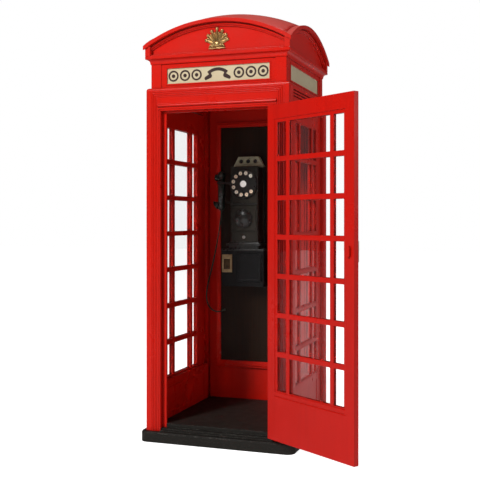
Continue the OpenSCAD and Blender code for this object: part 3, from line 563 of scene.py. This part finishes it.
# the handset: a bow, and two cups that hang from its ends
bow_radius, bow_width, bow_half = 0.088, 0.018, radians(40)
bow_turns = [bow_half * (2 * k / 20 - 1) for k in range(21)]
bow_centre = -bow_radius + 0.026
printed([((bow_radius + bow_width / 2) * sin(t), bow_centre + (bow_radius + bow_width / 2) * cos(t)) for t in bow_turns]
        + [((bow_radius - bow_width / 2) * sin(t), bow_centre + (bow_radius - bow_width / 2) * cos(t))
           for t in reversed(bow_turns)])
for side in (-1, 1):
    printed([(side * x, y) for x, y in ((0.040, 0.006), (0.076, -0.016), (0.079, -0.026), (0.072, -0.034),
                                        (0.038, -0.021), (0.033, -0.011))])
only(marks[0])
for mark in marks:
    mark.select_set(True)
bpy.ops.object.join()
front_marks = bpy.context.object
for turn, side_name in ((0, "front"), (2, "back")):
    copy = bpy.data.objects.new("sign_marks", front_marks.data.copy())
    bpy.context.scene.collection.objects.link(copy)
    copy.data.transform(Matrix.Rotation(radians(90 * turn), 4, "Z"))
    settle(copy, "sign_marks_" + side_name, INK, "kiosk")
bpy.data.objects.remove(front_marks)


# ---- Roof ----
# Four arched heads meet at the corners round one domed casting; the enamel there is
# painted paler on top as a painted sheen of the light from above, and rougher there, where the weather has dulled it.
def roof_enamel():
    made = Finish("roof_enamel", (0.60, 0.010, 0.004), roughness=0.34, Specular_IOR_Level=0.25)
    upward = add_node(made.tree, "ShaderNodeSeparateXYZ",
                      {0: add_node(made.tree, "ShaderNodeNewGeometry").outputs["Normal"]}).outputs["Z"]
    # painted sheen: faces that look upward are made paler, standing in for the glint of light from above; the same mask
    # also makes them rougher
    top_painted_sheen_and_dulling = add_node(made.tree, "ShaderNodeMapRange",
                   {"Value": upward, "From Min": 0.72, "From Max": 1.0}).outputs["Result"]
    made.over(top_painted_sheen_and_dulling, (0.72, 0.13, 0.10), 0.8)
    made.over(made.mask(CLOUDS, Scale=6.0, Low=0.4, High=0.7), (0.50, 0.03, 0.02), 0.35)
    # painted shade darkening the roof enamel in its corners
    made.over(made.mask(HOLLOW_SHADE, Reach=0.02, Amount=0.7), (0.05, 0.008, 0.005))
    made.vary("Roughness", top_painted_sheen_and_dulling, 0.3, 0.5)
    made.raised(made.noise(60.0, 4.0), 0.0012, 0.3)
    return made.done()


ROOF = roof_enamel()
finish_node("pediments", ROOF, 0.0012)
finish_node("roof_dome", ROOF, 0)


# ---- Gilt ornament ----
# A cast fan of leaves over a moulded bar, gilded, with painted shade darkening its hollows.
def gilding():
    made = Finish("gilding", (0.60, 0.39, 0.16), roughness=0.42, metallic=1.0)
    made.over(made.mask(CLOUDS, Scale=60.0, Low=0.4, High=0.7), (0.38, 0.22, 0.08), 0.5)
    # painted shade darkening the gilding in its hollows
    made.over(made.mask(HOLLOW_SHADE, Reach=0.012, Amount=1.0), (0.07, 0.03, 0.012))
    made.vary("Roughness", made.noise(150.0, 4.0), 0.26, 0.5)
    made.raised(made.noise(220.0, 3.0), 0.0008)
    return made.done()


GILT = gilding()
gilt_low, gilt_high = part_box("emblem")
gilt_wall = gilt_high.y
gilt_foot = gilt_low.z
gilt_parts = []


def gilt_blob(place, size, turn=0.0):
    bpy.ops.mesh.primitive_uv_sphere_add(segments=20, ring_count=12, radius=1, location=(0, 0, 0))
    blob = bpy.context.object
    blob.data.transform(Matrix.Diagonal((*size, 1)))
    blob.data.transform(Matrix.Rotation(turn, 4, "Y"))
    blob.data.transform(Matrix.Translation(place))
    gilt_parts.append(blob)
    return blob


fan_centre = Vector((0, gilt_wall, gilt_foot + 0.022))
leaf_step, middle_reach, reach_lost_each_step = 22, 0.090, 0.007
# seven leaves, each with a raised rib and a round tip
for i in range(-3, 4):
    turn = radians(leaf_step * i)
    reach = middle_reach - reach_lost_each_step * abs(i)
    ray = Vector((sin(turn), 0, cos(turn)))
    gilt_blob(fan_centre + ray * reach * 0.56, (0.0105, 0.0085, reach * 0.45), turn)
    gilt_blob(fan_centre + ray * reach * 0.60 + Vector((0, -0.008, 0)), (0.0028, 0.0035, reach * 0.38), turn)
    gilt_blob(fan_centre + ray * reach + Vector((0, -0.004, 0)), (0.0100, 0.0070, 0.0100), turn)
# a bud between each two leaves
for i in range(-3, 3):
    turn = radians(leaf_step * (i + 0.5))
    ray = Vector((sin(turn), 0, cos(turn)))
    gilt_blob(fan_centre + ray * 0.062, (0.0052, 0.006, 0.014), turn)
gilt_blob(fan_centre + Vector((0, -0.004, 0.004)), (0.021, 0.010, 0.017))
for k in range(9):
    gilt_blob((0.0106 * (k - 4), gilt_wall - 0.0075, gilt_foot + 0.0135), (0.0048, 0.0045, 0.0045))
for low_edge, wide, deep, tall in ((0.0, 0.050, 0.009, 0.0075), (0.018, 0.043, 0.009, 0.006)):
    bpy.ops.mesh.primitive_cube_add(size=1, location=(0, gilt_wall - deep / 2, gilt_foot + low_edge + tall / 2))
    bar = bpy.context.object
    bar.scale = (2 * wide, deep, tall)
    bpy.ops.object.transform_apply(location=True, rotation=True, scale=True)
    soften = bar.modifiers.new("soften", "BEVEL")
    soften.width = 0.0028
    soften.segments = 4
    apply_all(bar)
    gilt_parts.append(bar)
only(gilt_parts[0])
for part in gilt_parts:
    part.select_set(True)
bpy.ops.object.join()
fan = bpy.context.object
only(fan)
bpy.ops.object.mode_set(mode="EDIT")
bpy.ops.mesh.select_all(action="SELECT")
bpy.ops.mesh.bisect(plane_co=(0, gilt_wall, 0), plane_no=(0, 1, 0), clear_outer=True, use_fill=True)
bpy.ops.object.mode_set(mode="OBJECT")
bpy.ops.object.shade_smooth_by_angle(angle=radians(50))
settle(fan, "gilt_fan", GILT, "kiosk", ["emblem"])


# ---- Ceiling and lamp ----
# Cream plate under the roof with a round bowl of moulded opal plastic.
def cream_paint():
    made = Finish("ceiling_cream", (0.55, 0.49, 0.40), roughness=0.55)
    made.over(made.mask(CLOUDS, Scale=4.0, Low=0.3, High=0.7), (0.42, 0.36, 0.27), 0.6)
    made.raised(made.noise(120.0), 0.0005)
    return made.done()


CREAM = cream_paint()
finish_node("ceiling", CREAM, 0.001)
finish_node("lamp_base", CREAM, 0.0015)
LENS = Finish("lamp_bowl", (0.82, 0.80, 0.74), roughness=0.25, Subsurface_Weight=0.2)
LENS.over(LENS.mask(CLOUDS, Scale=30.0, Low=0.4, High=0.7), (0.72, 0.68, 0.58), 0.4)
finish_node("lamp_lens", LENS.done(), 0)


# ---- Door and hinges ----
# Glazed leaf in the same enamel, its glazing beads pinned in from outside, hung on
# three pairs of knuckles.
finish_node("frame_hinges", RED, 0.0008)
finish_node("door_leaf", DOOR_RED, 0.0018)
finish_node("door_beads", DOOR_RED, 0.0011)
finish_node("door_hinges", DOOR_RED, 0.0008)
finish_node("pull_inner", DOOR_RED, 0.0015, 3)


def old_steel(name, colour, roughness):
    made = Finish(name, colour, roughness=roughness, metallic=1.0)
    brush = made.noise(40.0, 4.0, stretch=(1.0, 1.0, 14.0))
    tarnish = (colour[0] * 0.5, colour[1] * 0.48, colour[2] * 0.42)
    made.over(made.mask(CLOUDS, Scale=30.0, Low=0.45, High=0.75), tarnish, 0.5)
    # painted shade darkening the steel in its corners
    made.over(made.mask(HOLLOW_SHADE, Reach=0.01, Amount=0.8), (0.05, 0.04, 0.03))
    made.vary("Roughness", brush, roughness - 0.1, roughness + 0.15)
    made.raised(brush, 0.0002)
    return made.done()


STEEL = old_steel("worn_steel", (0.56, 0.55, 0.52), 0.32)
finish_node("pull_outer", STEEL, 0.003, 4)


# ---- Payphone case ----
# Sheet-steel case and raised plate in black crackle enamel, fixed to a back plate; ledges worn to a shine,
# round boss and hook lever in smoother black, coin box and its door in a darker crackle.
def crackle(name, colour, worn):
    made = Finish(name, colour, roughness=0.4, Specular_IOR_Level=0.22)
    wrinkle = made.cells(420.0, 0.0, 0.6)
    made.over(made.mask(CLOUDS, Scale=16.0, Low=0.4, High=0.75), [2 * c for c in colour], 0.6)
    made.over(made.mask(RUBBED, Width=0.0025, Breaks=70.0, Amount=0.8), worn)
    made.vary("Roughness", made.noise(35.0), 0.32, 0.55)
    made.raised(wrinkle, 0.0005, 0.7)
    return made.done()


def gloss_black(name, colour, roughness):
    made = Finish(name, colour, roughness=roughness, Specular_IOR_Level=0.6)
    made.over(made.mask(CLOUDS, Scale=40.0, Low=0.45, High=0.75), (0.022, 0.019, 0.015), 0.5)
    made.over(made.mask(RUBBED, Width=0.0015, Breaks=120.0, Amount=0.6), (0.09, 0.085, 0.075))
    made.vary("Roughness", made.noise(60.0), roughness - 0.06, roughness + 0.14)
    made.raised(made.noise(140.0), 0.0002, 0.5)
    return made.done()


CRACKLE = crackle("crackle_black", (0.021, 0.018, 0.014), (0.15, 0.14, 0.12))
VAULT_BLACK = crackle("vault_black", (0.0045, 0.0042, 0.0045), (0.10, 0.10, 0.10))
GLOSS = gloss_black("gloss_black", (0.010, 0.009, 0.008), 0.26)
for part, finish, edge, steps in (("phone_backplate", CRACKLE, 0.001, 2), ("phone_housing", CRACKLE, 0.004, 4),
                                  ("phone_panel", CRACKLE, 0.0012, 3), ("phone_ledges", GLOSS, 0.0025, 4),
                                  ("vault_box", VAULT_BLACK, 0.003, 3), ("vault_door", VAULT_BLACK, 0.0015, 3),
                                  ("cradle", CRACKLE, 0.0015, 3)):
    finish_node(part, finish, edge, steps)
finish_node("phone_boss", GLOSS, 0.002, 3)
finish_node("phone_lock", STEEL, 0.0008, 2)
finish_node("hook_lever", GLOSS, 0.0012, 2)


# ---- Coin gauge ----
# Sloping plate of dull nickel silver with three rings that take the coins, each
# closed at the back by a throat with a slot in it, in gloss black as painted shade for the dark inside of the hole.
def nickel_silver():
    made = Finish("nickel_silver", (0.50, 0.50, 0.34), roughness=0.42, metallic=0.35)
    made.over(made.mask(CLOUDS, Scale=34.0, Low=0.45, High=0.75), (0.27, 0.26, 0.17), 0.6)
    # painted shade darkening the plate round its rings and in its corners
    made.over(made.mask(HOLLOW_SHADE, Reach=0.012, Amount=0.9), (0.05, 0.045, 0.03))
    made.vary("Roughness", made.noise(70.0), 0.3, 0.55)
    made.raised(made.noise(160.0, 3.0), 0.0002)
    return made.done()


finish_node("coin_gauge", nickel_silver(), 0.0012, 3)
gauge_low, gauge_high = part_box("coin_gauge")
ring_step, shade_disc_radius = 0.048, 0.0128
ring_middle = Vector(((gauge_low.x + gauge_high.x) / 2, gauge_low.y + 0.016, gauge_low.z + 0.036))
# painted shade: a gloss black disc in each ring stands in for the shade down the coin hole
for k in (-1, 0, 1):
    bpy.ops.mesh.primitive_cylinder_add(vertices=32, radius=shade_disc_radius, depth=0.006,
                                        location=ring_middle + Vector((k * ring_step, 0, 0)),
                                        rotation=(pi / 2, 0, 0))
    shade_disc = bpy.context.object
    bpy.ops.object.mode_set(mode="EDIT")
    bpy.ops.mesh.select_all(action="DESELECT")
    bpy.ops.object.mode_set(mode="OBJECT")
    for face in shade_disc.data.polygons:
        face.select = face.normal.z > 0.9
    bpy.ops.object.mode_set(mode="EDIT")
    bpy.ops.mesh.inset(thickness=0.0035)
    bpy.ops.transform.translate(value=(0, 0.0022, 0))
    bpy.ops.mesh.inset(thickness=0.005)
    bpy.ops.transform.resize(value=(0.45, 1, 1.7))
    bpy.ops.transform.translate(value=(0, 0.0015, 0))
    bpy.ops.object.mode_set(mode="OBJECT")
    bpy.ops.object.shade_smooth_by_angle(angle=radians(30))
    settle(shade_disc, f"coin_shade_disc_{k + 2}", GLOSS, "kiosk")


# ---- Dial ----
# Pressed bezel and finger wheel in gloss black over an ivory ring that carries the
# numbers, with a paper card under a clear disc in the middle.
def ivory():
    made = Finish("dial_ivory", (0.93, 0.88, 0.74), roughness=0.3, Coat_Weight=0.3, Coat_Roughness=0.05)
    made.over(made.mask(CLOUDS, Scale=9.0, Low=0.45, High=0.6), (0.90, 0.62, 0.40), 0.7)
    # painted shade darkening the ivory in its hollows
    made.over(made.mask(HOLLOW_SHADE, Reach=0.006, Amount=0.5), (0.2, 0.13, 0.07))
    return made.done()


IVORY = ivory()
finish_node("dial_bezel", GLOSS, 0.0008, 3)
finish_node("number_plate", IVORY, 0.0004)
finish_node("finger_wheel", GLOSS, 0.0008, 3)
CARD = Finish("dial_card", (0.95, 0.94, 0.90), roughness=0.35, Coat_Weight=0.4, Coat_Roughness=0.05)
CARD.over(CARD.noise(120.0, 5.0, low=0.5, high=0.8), (0.74, 0.69, 0.58), 0.5)
finish_node("dial_card", CARD.done(), 0.0006, 3)

wheel_low, wheel_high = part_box("finger_wheel")
dial_centre = (wheel_low + wheel_high) / 2
plate_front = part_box("number_plate")[0].y
hole_ring, first_hole, hole_step, digit_height = 0.070, 47, 30, 0.014
digits = []
for k in range(10):
    angle = radians(first_hole + hole_step * k)
    bpy.ops.object.text_add()
    digit = bpy.context.object
    digit.data.body = str((k + 1) % 10)
    digit.data.align_x = "CENTER"
    digit.data.align_y = "CENTER"
    digit.data.size = digit_height
    digit.data.extrude = 0.0002
    bpy.ops.object.convert(target="MESH")
    digit = bpy.context.object
    digit.data.transform(Matrix.Rotation(pi / 2, 4, "X"))
    digit.data.transform(Matrix.Translation((dial_centre.x + hole_ring * cos(angle), plate_front - 0.0001,
                                             dial_centre.z + hole_ring * sin(angle))))
    digits.append(digit)
only(digits[0])
for digit in digits:
    digit.select_set(True)
bpy.ops.object.join()
settle(bpy.context.object, "dial_digits", INK, "kiosk")


# ---- Coin return ----
# Worn brass plate on the coin box with a flap hung across its opening, coloured nearly black as painted shade for the
# dark opening.
def worn_brass(name, colour, roughness):
    made = Finish(name, colour, roughness=roughness, metallic=1.0)
    made.over(made.mask(CLOUDS, Scale=55.0, Low=0.4, High=0.7), (0.20, 0.13, 0.07), 0.6)
    # painted shade darkening the brass in its corners
    made.over(made.mask(HOLLOW_SHADE, Reach=0.01, Amount=0.9), (0.04, 0.025, 0.015))
    made.vary("Roughness", made.noise(80.0), roughness - 0.1, roughness + 0.2)
    made.raised(made.noise(260.0), 0.0003)
    return made.done()


BRASS = worn_brass("worn_brass", (0.46, 0.34, 0.19), 0.38)
finish_node("return_plate", BRASS, 0.0012, 3)
# painted shade: the flap's near-black brass stands in for the shade inside the coin return opening
FLAP_PAINTED_SHADE = worn_brass("flap_painted_shade", (0.07, 0.05, 0.03), 0.45)
finish_node("return_flap", FLAP_PAINTED_SHADE, 0.0004)


# ---- Handset ----
# Moulded phenolic handle with a receiver cup and a flared mouthpiece screwed on, in
# a very dark green-black, polished by hands along the grip.
def phenolic():
    made = Finish("phenolic", (0.009, 0.013, 0.010), roughness=0.28, Coat_Weight=0.2, Coat_Roughness=0.12)
    made.over(made.mask(CLOUDS, Scale=22.0, Low=0.4, High=0.75), (0.026, 0.036, 0.028), 0.6)
    made.over(made.mask(RUBBED, Width=0.002, Breaks=90.0, Amount=0.5), (0.10, 0.10, 0.08))
    made.vary("Roughness", made.noise(45.0), 0.18, 0.42)
    made.raised(made.noise(130.0), 0.0002, 0.5)
    return made.done()


PHENOLIC = phenolic()
for part in ("handset_handle", "ear_cap", "mouth_cap"):
    finish_node(part, PHENOLIC, 0)
